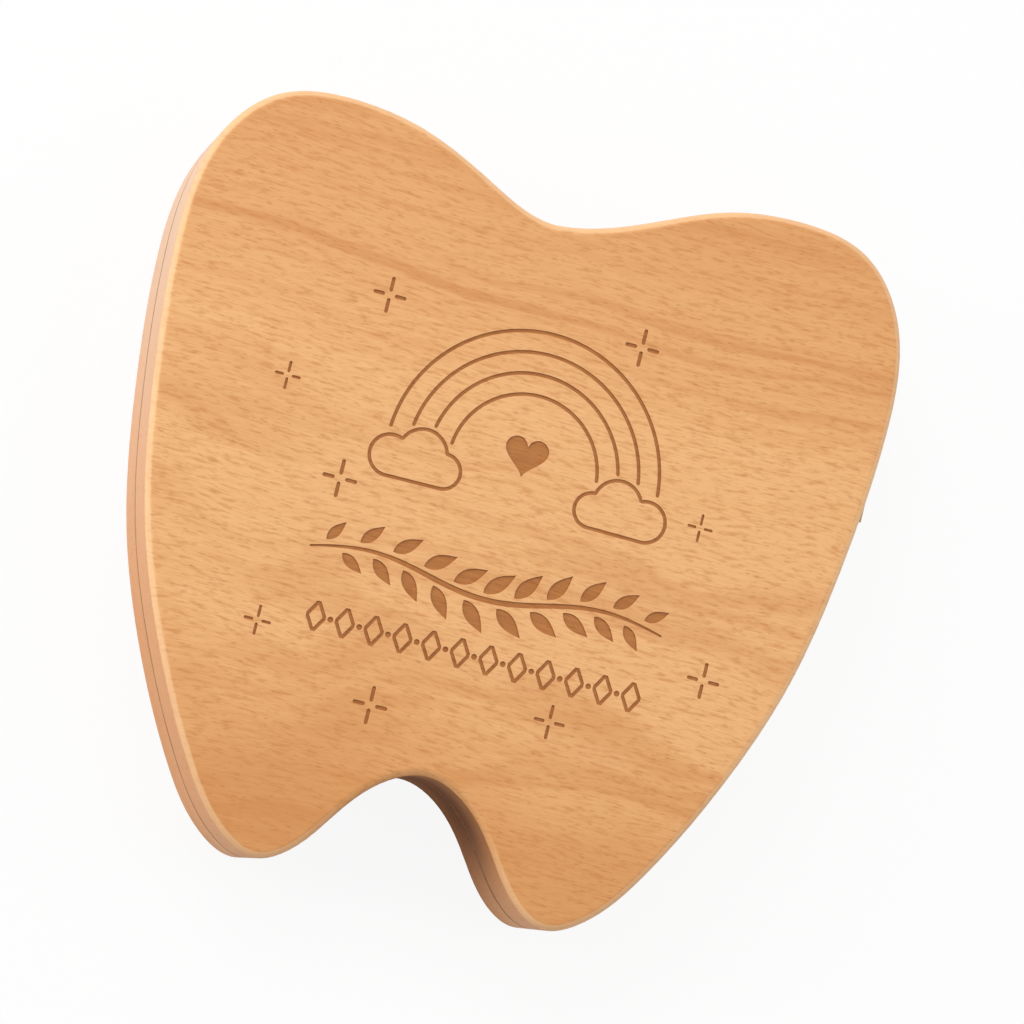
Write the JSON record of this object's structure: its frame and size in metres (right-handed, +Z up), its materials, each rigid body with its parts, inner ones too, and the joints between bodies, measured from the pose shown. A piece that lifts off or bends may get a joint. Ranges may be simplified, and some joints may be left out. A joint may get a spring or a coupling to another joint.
{
  "type": "baby tooth box",
  "caption": "Tooth-shaped beech keepsake box that opens like a book, with a drilled well for each milk tooth and a capped hollow in the middle.",
  "frame": {"origin": "middle of the tooth outline on the flat underside", "axes": "+Z up through the lid, +Y from the roots to the crown, +X towards the hinged side"},
  "size_m": [0.1255, 0.1246, 0.03],
  "materials": {
    "beech": "sanded and lightly oiled",
    "hinge_brass": "satin",
    "screw_brass": "satin",
    "magnet_plating": "nickel plated"
  },
  "bodies": {
    "base": {"base": "beech", "base_leaf_lower": "hinge_brass", "base_leaf_upper": "hinge_brass", "base_magnet_lower": "magnet_plating", "base_magnet_upper": "magnet_plating", "base_screw_lower_back": "screw_brass", "base_screw_lower_front": "screw_brass", "base_screw_upper_back": "screw_brass", "base_screw_upper_front": "screw_brass", "hinge_pin_lower": "hinge_brass", "hinge_pin_upper": "hinge_brass"},
    "lid": {"lid": "beech", "lid_leaf_lower": "hinge_brass", "lid_leaf_upper": "hinge_brass", "lid_magnet_lower": "magnet_plating", "lid_magnet_upper": "magnet_plating", "lid_screw_lower_back": "screw_brass", "lid_screw_lower_front": "screw_brass", "lid_screw_upper_back": "screw_brass", "lid_screw_upper_front": "screw_brass"},
    "keepsake_cap": {"keepsake_cap": "beech"}
  },
  "joints": [
    {"name": "lid_hinge", "type": "hinge", "parent": "base", "child": "lid", "pos_m": [0.0628, 0.03235, 0.015], "axis": [0, 1, 0], "range_deg": [0, 180]},
    {"name": "cap_lift", "type": "slide", "parent": "base", "child": "keepsake_cap", "axis": [0, 0, 1], "range_m": [0, 0.008]}
  ]
}
